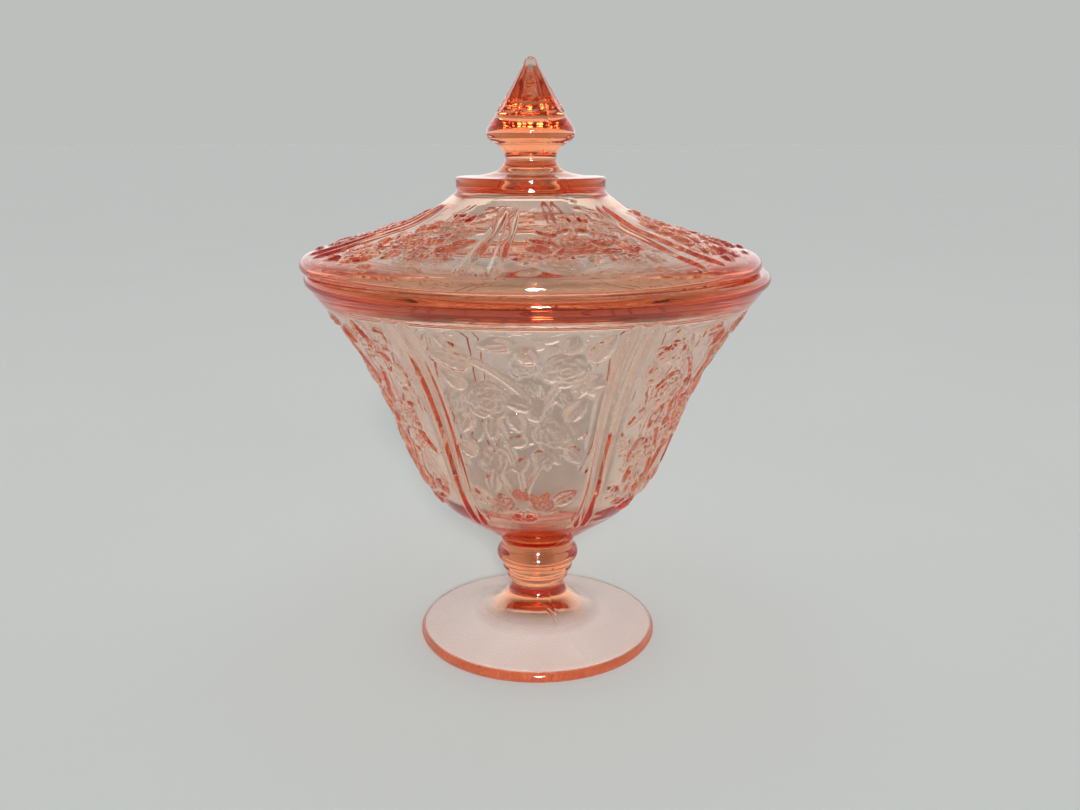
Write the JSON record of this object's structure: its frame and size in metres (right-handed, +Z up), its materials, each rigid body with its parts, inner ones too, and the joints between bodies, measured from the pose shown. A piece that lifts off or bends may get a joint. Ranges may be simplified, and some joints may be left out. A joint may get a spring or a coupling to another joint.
{
  "type": "footed covered candy jar",
  "caption": "Footed pressed-glass candy jar in clear pink, with a flared ribbed bowl on a knopped stem and a domed lift-off lid with a pointed finial.",
  "frame": {"origin": "on the jar's axis, at the level of the table that the foot rests on", "axes": "+Z up the jar's axis, -Y out of the middle of one bowl panel, +X to the right of that panel as seen from outside"},
  "size_m": [0.1582, 0.1564, 0.203],
  "materials": {
    "bowl_glass": "clear fire-polished pink glass",
    "lid_glass": "clear fire-polished pink glass"
  },
  "bodies": {
    "jar": {"footed_bowl": "bowl_glass"},
    "lid": {"lid": "lid_glass"}
  },
  "joints": [
    {"name": "lid_lift", "type": "slide", "parent": "jar", "child": "lid", "axis": [0, 0, 1], "range_m": [0, 0.09]}
  ]
}
